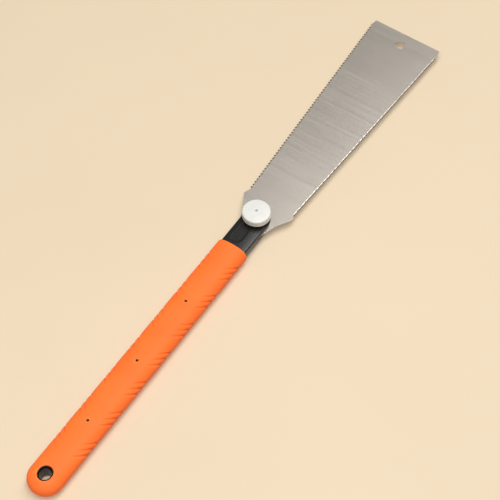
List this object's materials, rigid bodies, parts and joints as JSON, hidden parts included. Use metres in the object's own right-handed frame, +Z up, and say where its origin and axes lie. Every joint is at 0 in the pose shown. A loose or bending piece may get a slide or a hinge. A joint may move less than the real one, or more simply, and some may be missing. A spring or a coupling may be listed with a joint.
{
  "type": "double-edged pull saw",
  "caption": "Long soft-gripped handle with a forked head and clamp knob, holding a thin flat blade toothed along both edges.",
  "frame": {"origin": "middle of the saw's length and width, on the surface that the underside of the grip lies on", "axes": "+X along the saw towards the blade's tip, +Y towards the coarse-toothed edge, +Z up, out of the knob's side"},
  "size_m": [0.617, 0.0784, 0.0271],
  "materials": {
    "blade_steel": "satin ground along its width, bright bevels on the teeth",
    "black_plastic": "glossy moulded",
    "orange_rubber": "soft matt moulded",
    "white_plastic": "smooth moulded, soft gloss",
    "zinc_steel": "bright zinc plated",
    "nut_brass": "plain turned"
  },
  "bodies": {
    "handle": {"handle_core": "black_plastic", "grip_sleeve": "orange_rubber", "clamp_bolt": "zinc_steel", "tang_pin": "zinc_steel", "bolt_clip": "zinc_steel"},
    "washers": {"flat_washer": "zinc_steel", "spring_washer": "zinc_steel"},
    "knob": {"knob_base": "white_plastic", "knob_nut": "nut_brass", "knob_cap": "white_plastic"},
    "blade": {"blade": "blade_steel"}
  },
  "joints": [
    {"name": "knob_lift", "type": "slide", "parent": "handle", "child": "washers", "axis": [0, 0, 1], "range_m": [0, 0.0015]},
    {"name": "knob_turn", "type": "hinge", "parent": "washers", "child": "knob", "pos_m": [0.0335, 0, 0.0271], "axis": [0, 0, 1], "range_deg": [0, 540]},
    {"name": "blade_slide", "type": "slide", "parent": "handle", "child": "blade", "axis": [1, 0, 0], "range_m": [0, 0.04]}
  ],
  "couplings": [
    {"joint": "knob_lift", "follows": "knob_turn", "m_per_rad": 0.00015915}
  ]
}
